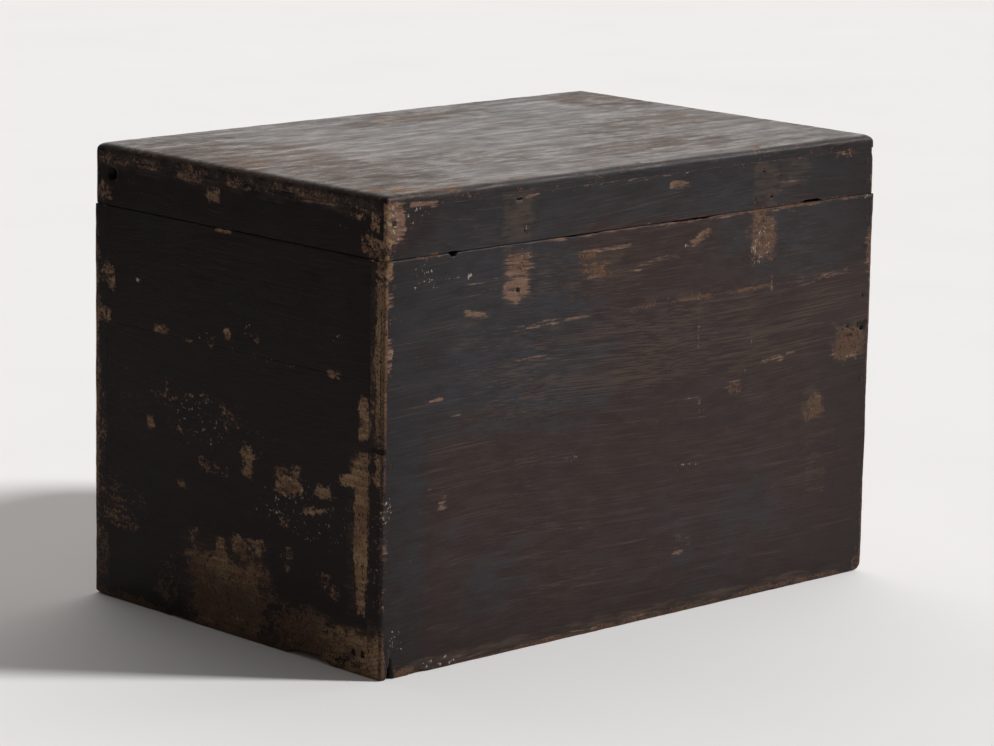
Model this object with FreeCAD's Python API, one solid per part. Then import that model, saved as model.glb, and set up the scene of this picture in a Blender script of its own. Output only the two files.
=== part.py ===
import FreeCAD, Part
import os

# Painted pine chest: four nailed walls of two boards each, round a boarded bottom and under a shallow
# box lid that turns on two iron hinges behind it. All sizes are in millimetres.
# X runs along the front from left to right, Y from the front to the back, and Z up from the floor.
# The origin is the centre of the footprint, hinges included, on the floor.

# Carcass
chest_length = 735.0
chest_depth = 470.0
carcass_height = 434.0
wall_thickness = 22.0
front_upper_width = 86.0
back_upper_width = 140.0
end_upper_width = 126.0
foot_round = 3.0
upright_extra_round = 1.0
rim_round = 1.5

# Tongued edge joints between neighbouring boards
tongue_length = 8.0
tongue_thickness = 7.0
tongue_room = 0.5

# Bottom boards, let into a groove that runs round inside the walls
bottom_thickness = 16.0
bottom_clearance = 14.0
bottom_board_count = 5
bottom_groove_depth = 8.0
bottom_groove_room = 0.5

# Lid
lid_height = 66.0
lid_setback = 1.0
lid_top_thickness = 14.0
lid_rail_thickness = 22.0
lid_front_board_width = 160.0
lid_tongue_thickness = 4.5
lid_corner_round = 4.0
lid_edge_extra_round = 4.0

# Cut nails, with square heads driven flush
nail_head_size = 6.0
nail_head_thickness = 1.5
nail_shank_size = 3.2
nail_tip_size = 1.6
corner_nail_length = 60.0
lid_top_nail_length = 38.0
upper_board_nails = 2
lower_board_nails = 4
wall_nail_margin = 27.0
lid_rail_nails = 2
lid_rail_nail_margin = 14.0
lid_end_nails = 3
lid_long_nail_margin = 70.0
lid_end_nail_margin = 110.0

# Iron hinges on the back face, with their pins on the line between carcass and lid
hinge_spacing = 370.0
leaf_width = 48.0
carcass_leaf_height = 52.0
lid_leaf_height = 46.0
leaf_thickness = 2.5
knuckle_count = 5
knuckle_gap = 0.4
knuckle_wall_gap = 0.3
leaf_notch_gap = 0.5
pin_diameter = 5.0
pin_clearance = 0.06
pin_head_diameter = 8.0
pin_head_thickness = 1.5

# Hinge nails, with low faceted heads standing on the leaves
hinge_nail_head_size = 8.0
hinge_nail_head_top = 3.0
hinge_nail_head_height = 1.8
hinge_nail_shank_size = 3.0
hinge_nail_tip_size = 1.5
hinge_nail_length = 20.0
hinge_nail_column_spacing = 28.0
hinge_nail_first_row = 17.0
hinge_nail_row_spacing = 20.0

# Places worked out from the sizes above
half_length = chest_length / 2
half_depth = chest_depth / 2
inner_half_length = half_length - wall_thickness
inner_half_depth = half_depth - wall_thickness
bottom_top = bottom_clearance + bottom_thickness
lid_half_length = half_length - lid_setback
lid_front = lid_setback - half_depth
lid_rail_top = carcass_height + lid_height - lid_top_thickness
lid_top = carcass_height + lid_height
lid_board_joint = lid_front + lid_front_board_width
knuckle_radius = pin_diameter / 2 + pin_clearance + leaf_thickness
hinge_axis_y = half_depth + knuckle_wall_gap + knuckle_radius
hinge_reach = knuckle_wall_gap + 2 * knuckle_radius
touch = 1e-6

RIGHT = FreeCAD.Vector(1, 0, 0)
INWARD = FreeCAD.Vector(0, 1, 0)
DOWN = FreeCAD.Vector(0, 0, -1)

# The pieces are shaped round the carcass's own centre, then moved forward by half of what the hinges add.
TO_ORIGIN = FreeCAD.Vector(0, -hinge_reach / 2, 0)


def block(low, high):
    """A rectangular block between its lowest and highest corners."""
    size = [top - bottom for bottom, top in zip(low, high)]
    return Part.makeBox(*size, FreeCAD.Vector(*low))


def edges_at_height(shape, height):
    """The edges of a shape that lie flat at one height."""
    return [edge for edge in shape.Edges
            if all(abs(vertex.Z - height) < touch for vertex in edge.Vertexes)]


def upright_edges(shape):
    """The straight upright edges of a shape."""
    return [edge for edge in shape.Edges
            if max(edge.BoundBox.XLength, edge.BoundBox.YLength) < touch < edge.BoundBox.ZLength]


def rounded_block(low, high, upright, lower, upper):
    """A block with its upright, lower and upper edges rounded to three radii, the largest first."""
    shape = block(low, high)
    for radius, height in sorted([(upright, None), (lower, low[2]), (upper, high[2])], key=round_size):
        edges = upright_edges(shape) if height is None else edges_at_height(shape, height)
        shape = shape.makeFillet(radius, edges)
    return shape


def round_size(edge_round):
    """Sorting key that puts a larger edge radius before a smaller one."""
    return -edge_round[0]


def spread(low, high, count, margin):
    """Places spaced evenly between two ends, the outer ones a margin inside them."""
    if count == 1:
        return [(low + high) / 2]
    step = (high - low - 2 * margin) / (count - 1)
    return [low + margin + index * step for index in range(count)]


def wall_boards(low, high, upper_width, thin_axis):
    """The upper and lower boards of one wall, tongued together along their joint."""
    joint = high[2] - upper_width
    upper = block((low[0], low[1], joint), high)
    lower = block(low, (high[0], high[1], joint))
    tongue_low = list(low)
    tongue_high = list(high)
    middle = (low[thin_axis] + high[thin_axis]) / 2
    tongue_low[thin_axis] = middle - tongue_thickness / 2
    tongue_high[thin_axis] = middle + tongue_thickness / 2
    tongue_low[2] = joint - tongue_length
    tongue_high[2] = joint
    upper = upper.fuse(block(tongue_low, tongue_high)).removeSplitter()
    tongue_low[2] -= tongue_room
    return upper, lower.cut(block(tongue_low, tongue_high))


def bottom_groove():
    """The space that the bottom boards fill, as deep into each wall as the groove is cut."""
    reach_x = inner_half_length + bottom_groove_depth
    reach_y = inner_half_depth + bottom_groove_depth
    return block((-reach_x, -reach_y, bottom_clearance), (reach_x, reach_y, bottom_top))


def carcass_walls():
    """The eight wall boards by name: front and back run full length and cover the ends."""
    outside = rounded_block((-half_length, -half_depth, 0), (half_length, half_depth, carcass_height),
                            foot_round + upright_extra_round, foot_round, rim_round)
    walls = {
        "front": ((-half_length, -half_depth, 0), (half_length, -inner_half_depth, carcass_height),
                  front_upper_width, 1),
        "back": ((-half_length, inner_half_depth, 0), (half_length, half_depth, carcass_height),
                 back_upper_width, 1),
        "left_end": ((-half_length, -inner_half_depth, 0),
                     (-inner_half_length, inner_half_depth, carcass_height), end_upper_width, 0),
        "right_end": ((inner_half_length, -inner_half_depth, 0),
                      (half_length, inner_half_depth, carcass_height), end_upper_width, 0),
    }
    groove = bottom_groove()
    boards = {}
    for wall, sizes in walls.items():
        upper, lower = wall_boards(*sizes)
        boards[wall + "_board_upper"] = upper.common(outside)
        boards[wall + "_board_lower"] = lower.common(outside).cut(groove)
    return boards


def bottom_boards():
    """Bottom boards that run from front to back, each tongued into the next."""
    reach_x = inner_half_length + bottom_groove_depth - bottom_groove_room
    reach_y = inner_half_depth + bottom_groove_depth - bottom_groove_room
    width = 2 * reach_x / bottom_board_count
    middle = (bottom_clearance + bottom_top) / 2
    tongue_bottom = middle - tongue_thickness / 2
    tongue_top = middle + tongue_thickness / 2
    boards = {}
    for index in range(bottom_board_count):
        left = -reach_x + index * width
        right = left + width
        board = block((left, -reach_y, bottom_clearance), (right, reach_y, bottom_top))
        if index > 0:
            slot_end = left + tongue_length + tongue_room
            board = board.cut(block((left, -reach_y, tongue_bottom), (slot_end, reach_y, tongue_top)))
        if index < bottom_board_count - 1:
            tongue = block((right, -reach_y, tongue_bottom), (right + tongue_length, reach_y, tongue_top))
            board = board.fuse(tongue).removeSplitter()
        boards["bottom_board_" + str(index + 1)] = board
    return boards


def lid_boards():
    """The lid's two top boards, tongued together, over a frame of four rails."""
    outside = rounded_block((-lid_half_length, lid_front, carcass_height),
                            (lid_half_length, half_depth, lid_top),
                            lid_corner_round, rim_round, lid_corner_round + lid_edge_extra_round)
    inner_front = lid_front + lid_rail_thickness
    inner_back = half_depth - lid_rail_thickness
    inner_end = lid_half_length - lid_rail_thickness
    rim = carcass_height
    pieces = {
        "lid_front_rail": block((-lid_half_length, lid_front, rim),
                                (lid_half_length, inner_front, lid_rail_top)),
        "lid_back_rail": block((-lid_half_length, inner_back, rim),
                               (lid_half_length, half_depth, lid_rail_top)),
        "lid_left_rail": block((-lid_half_length, inner_front, rim),
                               (-inner_end, inner_back, lid_rail_top)),
        "lid_right_rail": block((inner_end, inner_front, rim),
                                (lid_half_length, inner_back, lid_rail_top)),
    }
    middle = (lid_rail_top + lid_top) / 2
    tongue_bottom = middle - lid_tongue_thickness / 2
    tongue_top = middle + lid_tongue_thickness / 2
    tongue = block((-lid_half_length, lid_board_joint, tongue_bottom),
                   (lid_half_length, lid_board_joint + tongue_length, tongue_top))
    slot = block((-lid_half_length, lid_board_joint, tongue_bottom),
                 (lid_half_length, lid_board_joint + tongue_length + tongue_room, tongue_top))
    front = block((-lid_half_length, lid_front, lid_rail_top), (lid_half_length, lid_board_joint, lid_top))
    back = block((-lid_half_length, lid_board_joint, lid_rail_top), (lid_half_length, half_depth, lid_top))
    pieces["lid_top_board_front"] = front.fuse(tongue).removeSplitter()
    pieces["lid_top_board_back"] = back.cut(slot)
    return {name: piece.common(outside) for name, piece in pieces.items()}


def tapered_bar(start, start_size, end, end_size):
    """A square bar along the Y axis that tapers from one size to another."""
    near = start_size / 2
    far = end_size / 2
    return Part.makeWedge(-near, start, -near, -far, -far, near, end, near, far, far)


def cut_nail(length):
    """A nail driven along +Y, with the top of its square head at the origin."""
    head = tapered_bar(0, nail_head_size, nail_head_thickness, nail_head_size)
    shank = tapered_bar(nail_head_thickness, nail_shank_size, length, nail_tip_size)
    return head.fuse(shank).removeSplitter()


def hinge_nail():
    """A nail driven along +Y, whose faceted head stands out from the plane of the origin."""
    head = tapered_bar(-hinge_nail_head_height, hinge_nail_head_top, 0, hinge_nail_head_size)
    shank = tapered_bar(0, hinge_nail_shank_size, hinge_nail_length, hinge_nail_tip_size)
    return head.fuse(shank).removeSplitter()


def driven(nail, point, direction):
    """A copy of a nail, set at a point and turned to the direction it is driven in."""
    copy = nail.copy()
    copy.Placement = FreeCAD.Placement(FreeCAD.Vector(*point), FreeCAD.Rotation(INWARD, direction))
    return copy


def corner_nails(face_y, inward, heights, reach_x):
    """Nails through a long board into the end grain beside it, at both of its ends."""
    nail = cut_nail(corner_nail_length)
    return [driven(nail, (side * reach_x, face_y, height), INWARD * inward)
            for side in (-1, 1) for height in heights]


def wall_nail_heights(upper_width):
    """Heights of the nails at one corner of a wall, spread over its two boards."""
    joint = carcass_height - upper_width
    lower = spread(0, joint, lower_board_nails, wall_nail_margin)
    return lower + spread(joint, carcass_height, upper_board_nails, wall_nail_margin)


def lid_top_nails():
    """Nails down through the top boards into all four rails."""
    nail = cut_nail(lid_top_nail_length)
    outer = lid_half_length - lid_long_nail_margin
    long_places = [-outer, -hinge_spacing / 2, 0, hinge_spacing / 2, outer]
    end_places = spread(lid_front, half_depth, lid_end_nails, lid_end_nail_margin)
    rail_middle = lid_rail_thickness / 2
    points = [(x, y) for x in long_places for y in (lid_front + rail_middle, half_depth - rail_middle)]
    points += [(side * (lid_half_length - rail_middle), y) for side in (-1, 1) for y in end_places]
    return [driven(nail, (x, y, lid_top), DOWN) for x, y in points]


def hinge_nails(upward):
    """Nails through the two leaves above the hinge line (upward 1) or below it (-1)."""
    nail = hinge_nail()
    face = half_depth + leaf_thickness
    rows = [hinge_nail_first_row, hinge_nail_first_row + hinge_nail_row_spacing]
    columns = [-hinge_nail_column_spacing / 2, hinge_nail_column_spacing / 2]
    return [driven(nail, (side * hinge_spacing / 2 + column, face, carcass_height + upward * row), -INWARD)
            for side in (-1, 1) for column in columns for row in rows]


def knuckle_spans(centre):
    """Start and end along X of each knuckle of a hinge, from left to right."""
    width = (leaf_width - (knuckle_count - 1) * knuckle_gap) / knuckle_count
    starts = [centre - leaf_width / 2 + index * (width + knuckle_gap) for index in range(knuckle_count)]
    return [(start, start + width) for start in starts]


def rod(start, end, radius):
    """A round bar along the hinge line between two places on X."""
    return Part.makeCylinder(radius, end - start,
                             FreeCAD.Vector(start, hinge_axis_y, carcass_height), RIGHT)


def hinge_leaf(centre, height, upward):
    """A leaf with its rolled knuckles: odd knuckles on the carcass leaf, even ones on the lid leaf."""
    left = centre - leaf_width / 2
    right = centre + leaf_width / 2
    bottom, top = sorted((carcass_height, carcass_height + upward * height))
    leaf = block((left, half_depth, bottom), (right, half_depth + leaf_thickness, top))
    own_first = 0 if upward < 0 else 1
    for index, (start, end) in enumerate(knuckle_spans(centre)):
        if index % 2 == own_first:
            leaf = leaf.fuse(rod(start, end, knuckle_radius))
        else:
            leaf = leaf.cut(knuckle_notch(start, end))
    bore = rod(left, right, pin_diameter / 2 + pin_clearance)
    return leaf.cut(bore).removeSplitter()


def knuckle_notch(start, end):
    """Room in a leaf for one knuckle of the leaf that faces it."""
    reach = knuckle_radius + leaf_notch_gap
    return block((start - knuckle_gap, half_depth, carcass_height - reach),
                 (end + knuckle_gap, half_depth + leaf_thickness, carcass_height + reach))


def hinge_pin(centre):
    """A pin through all the knuckles, with a riveted head at each end."""
    left = centre - leaf_width / 2 - knuckle_gap
    right = centre + leaf_width / 2 + knuckle_gap
    pin = rod(left, right, pin_diameter / 2)
    head = pin_head_diameter / 2
    pin = pin.fuse(rod(left - pin_head_thickness, left, head))
    return pin.fuse(rod(right, right + pin_head_thickness, head)).removeSplitter()


def chest():
    """Every piece of the chest by node name."""
    wood = carcass_walls()
    wood.update(bottom_boards())
    wood.update(lid_boards())
    end_middle = half_length - wall_thickness / 2
    lid_end_middle = lid_half_length - lid_rail_thickness / 2
    rail_heights = spread(carcass_height, lid_rail_top, lid_rail_nails, lid_rail_nail_margin)
    nails = {
        "front_corner_nails": corner_nails(-half_depth, 1, wall_nail_heights(front_upper_width), end_middle),
        "back_corner_nails": corner_nails(half_depth, -1, wall_nail_heights(back_upper_width), end_middle),
        "lid_corner_nails": corner_nails(lid_front, 1, rail_heights, lid_end_middle)
                            + corner_nails(half_depth, -1, rail_heights, lid_end_middle),
        "lid_top_nails": lid_top_nails(),
        "hinge_carcass_nails": hinge_nails(-1),
        "hinge_lid_nails": hinge_nails(1),
    }
    iron = {}
    for side, name in ((-1, "left"), (1, "right")):
        centre = side * hinge_spacing / 2
        iron[name + "_hinge_carcass_leaf"] = hinge_leaf(centre, carcass_leaf_height, -1)
        iron[name + "_hinge_lid_leaf"] = hinge_leaf(centre, lid_leaf_height, 1)
        iron[name + "_hinge_pin"] = hinge_pin(centre)
    return drilled(wood, nails) | drilled(iron, nails) | grouped(nails)


def drilled(pieces, nails):
    """The pieces with a close hole for every nail that passes into them."""
    result = {}
    for name, piece in pieces.items():
        hits = [nail for group in nails.values() for nail in group
                if nail.BoundBox.intersect(piece.BoundBox)]
        result[name] = piece.cut(hits) if hits else piece
    return result


def grouped(nails):
    """Each set of like nails as one group of separate solids."""
    return {name: Part.makeCompound(group) for name, group in nails.items()}


os.makedirs("parts", exist_ok=True)
for name, shape in chest().items():
    shape.translate(TO_ORIGIN)
    shape.exportStep("parts/" + name + ".step")
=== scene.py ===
import math

import bmesh
import bpy
import numpy as np
from mathutils import Matrix, Vector, noise


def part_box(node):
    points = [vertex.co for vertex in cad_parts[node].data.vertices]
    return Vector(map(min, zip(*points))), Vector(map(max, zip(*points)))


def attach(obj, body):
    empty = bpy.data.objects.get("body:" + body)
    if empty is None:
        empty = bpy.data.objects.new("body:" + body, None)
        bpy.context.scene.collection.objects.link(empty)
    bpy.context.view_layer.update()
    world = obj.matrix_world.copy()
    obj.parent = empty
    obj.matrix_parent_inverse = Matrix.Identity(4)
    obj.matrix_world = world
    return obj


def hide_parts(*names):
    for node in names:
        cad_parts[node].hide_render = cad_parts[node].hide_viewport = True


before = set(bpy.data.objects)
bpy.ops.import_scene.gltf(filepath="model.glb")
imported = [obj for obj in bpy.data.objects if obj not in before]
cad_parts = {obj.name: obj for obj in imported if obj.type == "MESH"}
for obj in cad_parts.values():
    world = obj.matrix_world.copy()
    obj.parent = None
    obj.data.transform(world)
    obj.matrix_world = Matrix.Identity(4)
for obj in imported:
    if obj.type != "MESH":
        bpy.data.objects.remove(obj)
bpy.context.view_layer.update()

bl_info = {
    "name": "Painted pine chest",
    "version": (1, 0, 0),
    "blender": (4, 5, 0),
    "location": "View3D > Sidebar > Chest",
    "description": "Dresses the CAD frame of a nailed pine chest with worn boards, nails and hinges",
    "category": "Object",
}

MM = 0.001

# Outer boxes of the carcass and the lid, and the middle of the carcass from front to back
CARCASS_LOW = Vector(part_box("front_board_lower")[0])
CARCASS_HIGH = Vector((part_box("front_board_lower")[1].x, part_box("back_board_lower")[1].y,
                       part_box("front_board_upper")[1].z))
LID_LOW = Vector(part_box("lid_front_rail")[0])
LID_HIGH = Vector((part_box("lid_front_rail")[1].x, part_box("lid_back_rail")[1].y,
                   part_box("lid_top_board_back")[1].z))
MIDDLE_Y = (CARCASS_LOW.y + CARCASS_HIGH.y) / 2

# Each board: its CAD node, and the node that its tongue runs into
WALL_BOARDS = {
    "front_upper_board": ("front_board_upper", "front_board_lower"),
    "front_lower_board": ("front_board_lower", None),
    "back_upper_board": ("back_board_upper", "back_board_lower"),
    "back_lower_board": ("back_board_lower", None),
    "left_upper_board": ("left_end_board_upper", "left_end_board_lower"),
    "left_lower_board": ("left_end_board_lower", None),
    "right_upper_board": ("right_end_board_upper", "right_end_board_lower"),
    "right_lower_board": ("right_end_board_lower", None),
}
LID_BOARDS = {
    "lid_rail_front": ("lid_front_rail", None),
    "lid_rail_back": ("lid_back_rail", None),
    "lid_rail_left": ("lid_left_rail", None),
    "lid_rail_right": ("lid_right_rail", None),
    "lid_top_front_board": ("lid_top_board_front", "lid_top_board_back"),
    "lid_top_back_board": ("lid_top_board_back", None),
}
# How the names begin of boards with the fine grid, and of boards whose grain runs from front to back
FINE_BOARDS = ("front", "left", "lid")
END_BOARDS = ("left", "right", "lid_rail_left", "lid_rail_right")

# Nails driven flush and painted over, and nails of the hinges: the piece, its CAD node and its body
PAINTED_NAILS = (
    ("front_nail_heads", "front_corner_nails", "carcass"),
    ("back_nail_heads", "back_corner_nails", "carcass"),
    ("lid_rail_nail_heads", "lid_corner_nails", "lid"),
    ("lid_top_nail_heads", "lid_top_nails", "lid"),
)
HINGE_NAILS = (
    ("carcass_leaf_nails", "hinge_carcass_nails", "carcass"),
    ("lid_leaf_nails", "hinge_lid_nails", "lid"),
)

# Kinds of wear: wood is bare pine, scuff is scraped undercoat, fleck is loose pale filler, rub is thinned
# paint, stain is the brown film where a lost fitting sat, grime is dirt on bare wood, cool is blue-black
# paint, dark is painted shade in holes, gaps and joint lines, and dirt in cracks. Two colour layers of
# the mesh carry four kinds each.
KINDS = ("wood", "scuff", "fleck", "rub", "stain", "grime", "cool", "dark")
LAYERS = {"wear": KINDS[:4], "marks": KINDS[4:]}

# Wear on each face in millimetres, placed one by one on the front, left and top, and guessed on the right and
# back, which the photograph doesn't show. Front and back give X and then the height, the ends give Y from the
# carcass's middle and then the height, and the top gives X and then Y.
# Each patch: first low, first high, second low, second high, its amount in hundredths and, where it leans,
# its slope in hundredths.
WEAR = {
    "front": {
        "wood": [
            # Carcass, upper board
            (-204, -163, 380, 404, 34), (-200, -166, 404, 426, 38), (164, 206, 380, 432, 46),
            (-94, -40, 386, 404, 40, -10), (-100, -66, 408, 415, 40, -4), (78, 106, 408, 421, 50, 20),
            (50, 112, 345, 350, 58, 2), (136, 200, 345, 350, 62, 2), (-18, 24, 340, 354, 38, 10),
            (271, 319, 345, 350, 36, 6), (-330, -290, 431, 436, 50), (-370, -356, 414, 436, 60),
            (-370, -361, 380, 412, 48), (-60, 374, 431, 436, 42),
            # Carcass, lower board
            (312, 362, 250, 290, 58), (268, 292, 190, 222, 70), (256, 298, 186, 202, 56),
            (58, 92, 64, 88, 30), (136, 160, 230, 246, 46),
            # Edges of the carcass
            (-345, 372, -8, 4, 56), (-60, 120, 0, 8, 46), (150, 340, 0, 9, 50), (-372, -361, -6, 30, 60),
            (-350, -318, -6, 10, 60), (-374, -366, -10, 430, 40), (365, 374, 300, 434, 52),
            (366, 374, -10, 300, 40), (354, 372, 360, 400, 42), (350, 372, -6, 22, 34),
            # Lid
            (-374, -352, 440, 498, 62), (44, 62, 469, 476, 36), (362, 374, 434, 500, 42),
            (300, 340, 478, 490, 34), (-374, 374, 484, 496, 22),
        ],
        "scuff": [
            (-206, -161, 374, 402, 70), (-206, -161, 398, 426, 60), (-262, -205, 397, 401, 64, 8),
            (-262, -205, 386, 390, 62, 8), (-108, 50, 412, 417, 58, -2), (-88, -30, 386, 391, 62, 6),
            (-30, 64, 388, 398, 48, 8), (65, 108, 405, 420, 60, 20), (160, 210, 378, 432, 50),
            (-262, -223, 358, 373, 52, -30), (-250, -215, 344, 350, 44), (-230, -110, 340, 350, 48, 4),
            (-120, -70, 343, 351, 46), (20, 320, 342, 352, 38), (271, 340, 346, 354, 50, 6),
            (-199, -108, 307, 314, 46, -4), (-336, -281, 280, 285, 58, 8), (-300, -240, 262, 266, 44, 5),
            (180, 247, 259, 271, 56, 6), (132, 166, 230, 247, 54), (-372, -305, 175, 178, 58, -2),
            (-292, -278, 160, 186, 58), (-308, -300, 188, 200, 50, 60), (-30, 120, 216, 219, 42, -6),
            (0, 110, 236, 240, 40), (50, 94, 60, 92, 44), (300, 352, 248, 262, 50), (86, 89, 266, 381, 56),
            (202, 205, 340, 372, 66), (170, 173, 258, 300, 52), (-340, 372, -6, 10, 42),
            (-370, -354, 320, 362, 56), (-370, -358, 70, 200, 40), (-370, -354, 384, 404, 58),
            (354, 374, 330, 410, 48), (90, 96, 216, 236, 50),
            # Lid
            (-374, -338, 446, 498, 72), (-338, -290, 482, 492, 56, 6), (-176, -152, 479, 484, 60, 12),
            (38, 68, 467, 478, 70), (170, 250, 450, 486, 34), (-374, 374, 483, 487, 36),
            (-300, 374, 430, 434, 52), (300, 374, 430, 436, 60),
        ],
        "fleck": [
            (-334, -292, 394, 432, 36), (-290, -262, 406, 412, 44), (-256, -246, 402, 412, 56),
            (166, 204, 374, 424, 42), (56, 72, 402, 408, 56), (136, 168, 230, 246, 34),
            (-294, -278, 160, 184, 34), (-116, -90, 192, 200, 38), (50, 100, 158, 166, 32),
            (312, 352, 248, 262, 30), (-312, -258, 0, 14, 38), (-360, -338, 22, 52, 40),
            (-370, -352, 328, 346, 44), (-370, -354, 160, 188, 46), (-352, -310, 462, 484, 36, 40),
            (-374, -346, 450, 494, 46), (-180, 360, 481, 487, 28), (330, 374, 428, 436, 34),
            (-200, -164, 412, 432, 30), (-175, -169, 446, 456, 44), (-366, -340, 366, 378, 34),
        ],
        "rub": [(-380, 380, -20, 520, 30), (-260, 380, 256, 346, 70, 5), (-240, 60, 352, 430, 48)],
        "stain": [
            (-207, -161, 372, 434, 62), (162, 207, 380, 434, 56), (-100, -30, 384, 414, 52, -10),
            (-262, -220, 352, 376, 46, -20), (-300, 200, 334, 352, 36, 3), (306, 364, 246, 292, 56),
            (130, 250, 256, 276, 44, 5), (267, 300, 98, 180, 44), (-374, -340, 440, 496, 52),
            (-208, -161, 440, 488, 62), (168, 209, 434, 488, 60), (209, 262, 450, 488, 50),
            (-370, 370, -6, 16, 56), (256, 300, 180, 226, 46),
        ],
        "grime": [(-900, 900, -900, 440, 95)],
        "cool": [
            (-380, -60, 250, 500, 85), (110, 380, 360, 500, 60), (-380, -310, -10, 300, 85),
            (-380, 380, 438, 500, 95),
        ],
        # Painted shade in old holes, in the split and along the lid's joint line, and dark dirt in cracks
        "dark": [
            (-187, -180, 382, 389, 70), (-362, -359, 20, 54, 52), (344, 364, 282, 292, 66),
            (-374, 374, 484, 486, 30), (320, 346, 268, 288, 40), (-204, -164, 396, 422, 30),
            (166, 204, 404, 430, 28), (-92, -60, 388, 402, 28), (-366, -352, 440, 480, 20),
        ],
    },
    "left": {
        "wood": [
            # End grain of the front boards; its pale column at the front arris is worn wood and partly a
            # painted highlight where the arris catches light
            (-245, -220, 244, 434, 66), (-245, -218, 197, 240, 50), (-245, -236, 250, 440, 66),
            (-245, -222, 414, 440, 66), (-222, -213, 250, 380, 30), (-245, -214, -10, 190, 26),
            # End board beside it
            (-214, -196, 242, 292, 68), (-216, -166, 196, 212, 58, -20), (-216, -186, 190, 234, 70),
            (-215, -191, 78, 212, 80), (-210, -196, 60, 92, 62), (-245, -196, -14, 50, 66),
            # Worn back corner
            (226, 245, -10, 444, 52), (196, 228, 346, 374, 46), (206, 230, 306, 324, 56),
            (150, 240, 80, 102, 40), (214, 232, 150, 250, 36), (210, 240, 20, 80, 38),
            (5, 35, 429, 434, 74),
            # Chips along the joint
            (-172, -146, 303, 313, 56), (106, 134, 307, 317, 46), (62, 88, 304, 309, 40),
            (28, 50, 306, 318, 40), (4, 17, 316, 332, 54), (-42, -30, 320, 334, 38),
            # Flakes over the lower board
            (131, 147, 200, 216, 64), (4, 62, 240, 252, 34), (4, 58, 166, 186, 46),
            (-34, -10, 174, 212, 58), (-111, -60, 164, 202, 60), (-158, -130, 174, 192, 56),
            (-156, -104, 154, 166, 44, -10), (-93, -70, 132, 146, 54), (-97, -74, 86, 110, 48),
            (-170, -132, 68, 98, 36), (74, 97, 145, 156, 56), (52, 76, 88, 108, 50), (11, 30, 84, 108, 66),
            (-24, 4, 84, 114, 66), (-54, -18, 94, 114, 52), (140, 225, 96, 132, 30),
            (30, 215, 196, 262, 22), (-70, 120, 190, 262, 22),
            # Worn foot
            (-60, 78, -14, 90, 72), (-240, -56, -14, 52, 58), (80, 240, -10, 10, 50), (84, 130, 14, 70, 36),
            # Lid
            (-240, 236, 478, 494, 32), (190, 236, 476, 494, 44), (110, 170, 478, 486, 40),
            (50, 108, 476, 484, 46), (24, 52, 456, 480, 46), (-150, -60, 478, 486, 42),
            (-205, -170, 470, 480, 40), (206, 236, 436, 462, 50), (-232, -192, 434, 458, 58),
            (-226, -210, 460, 484, 50), (-245, -234, 434, 470, 50), (230, 245, 434, 494, 46),
        ],
        "scuff": [(-100, -84, 96, 116, 56), (222, 245, 0, 440, 46), (-240, 240, 476, 492, 40)],
        "fleck": [
            (-240, -214, 60, 190, 28), (-180, 140, 303, 311, 26), (0, 110, 190, 260, 32),
            (-200, -30, 120, 190, 32), (-6, 20, 431, 435, 40), (60, 200, 440, 470, 16),
            (-210, -198, 78, 90, 40), (-220, -150, 340, 420, 16), (152, 168, 356, 364, 56),
            (40, 62, 308, 322, 40), (-34, -16, 326, 340, 44), (-170, -154, 338, 352, 38),
            (-176, -160, 456, 466, 46), (-98, -80, 303, 308, 46),
        ],
        "rub": [(-250, 250, -20, 520, 10)],
        "stain": [
            (-245, -213, 237, 440, 50), (-214, -180, 60, 240, 46), (-245, 245, 474, 498, 52),
            (-70, 90, -10, 110, 50), (-240, -60, -10, 60, 50),
        ],
        "grime": [(-170, 250, -70, 70, 100), (-234, -212, 200, 440, 35), (-245, 245, 440, 500, 40)],
        "cool": [(-250, 250, 250, 500, 20)],
        # Painted shade along the joints and in the knot hole, and dark dirt lines in the end grain
        "dark": [
            (-245, -213, 236, 243, 70), (-214, -211, 60, 420, 44), (-196, -189, 18, 27, 66),
            (-211, -203, 18, 27, 60), (-231, -227, 246, 400, 56), (-223, -219, 250, 330, 50),
            (196, 213, 462, 477, 80),
        ],
    },
    "top": {
        "wood": [
            (-372, -310, -30, 52, 46), (-372, -290, -240, -160, 50), (-40, 60, 158, 190, 52),
            (-372, -346, 100, 205, 40), (300, 352, 178, 206, 40), (352, 372, -236, -190, 46),
            (40, 150, -156, -116, 34), (-330, 340, -246, -236, 34), (-400, -180, -260, 230, 30),
            (-400, 400, -250, -190, 26), (260, 380, 80, 220, 28), (-80, 170, 136, 214, 28),
        ],
        "scuff": [
            (-372, -150, -60, 120, 44), (-300, 340, -100, -60, 42), (60, 340, -215, -180, 44),
            (-300, 250, 40, 120, 40), (-360, -200, -240, -190, 50), (-60, 130, 150, 204, 48),
            (30, 110, -150, -120, 54, -30), (200, 372, -60, 40, 46), (-370, 370, -246, -232, 40),
            (260, 366, 120, 214, 50),
        ],
        "fleck": [(-374, 374, -246, -236, 24)],
        "rub": [(-380, 380, -250, 250, 66)],
        "stain": [
            (-376, -220, -240, 210, 58), (-70, 160, 140, 212, 56), (270, 368, 90, 216, 60),
            (100, 330, -60, 40, 50), (0, 220, -196, -100, 54), (-220, -60, -150, -40, 44),
        ],
        "cool": [(-200, 300, -100, 240, 60)],
        "dark": [(56, 62, -150, -118, 34, -120)],
    },
    "right": {
        "wood": [
            (-245, -217, 200, 440, 54), (-245, -210, -10, 120, 56), (224, 245, -10, 444, 50),
            (-240, 240, -12, 12, 56), (-190, -110, 0, 70, 58), (40, 130, 60, 104, 44),
            (-60, -10, 180, 214, 50), (90, 150, 220, 240, 46), (-200, 100, 120, 240, 24),
            (-130, -90, 306, 318, 54), (-245, -210, 434, 494, 48), (60, 110, 450, 472, 48),
            (-200, 180, 482, 487, 44),
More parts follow.
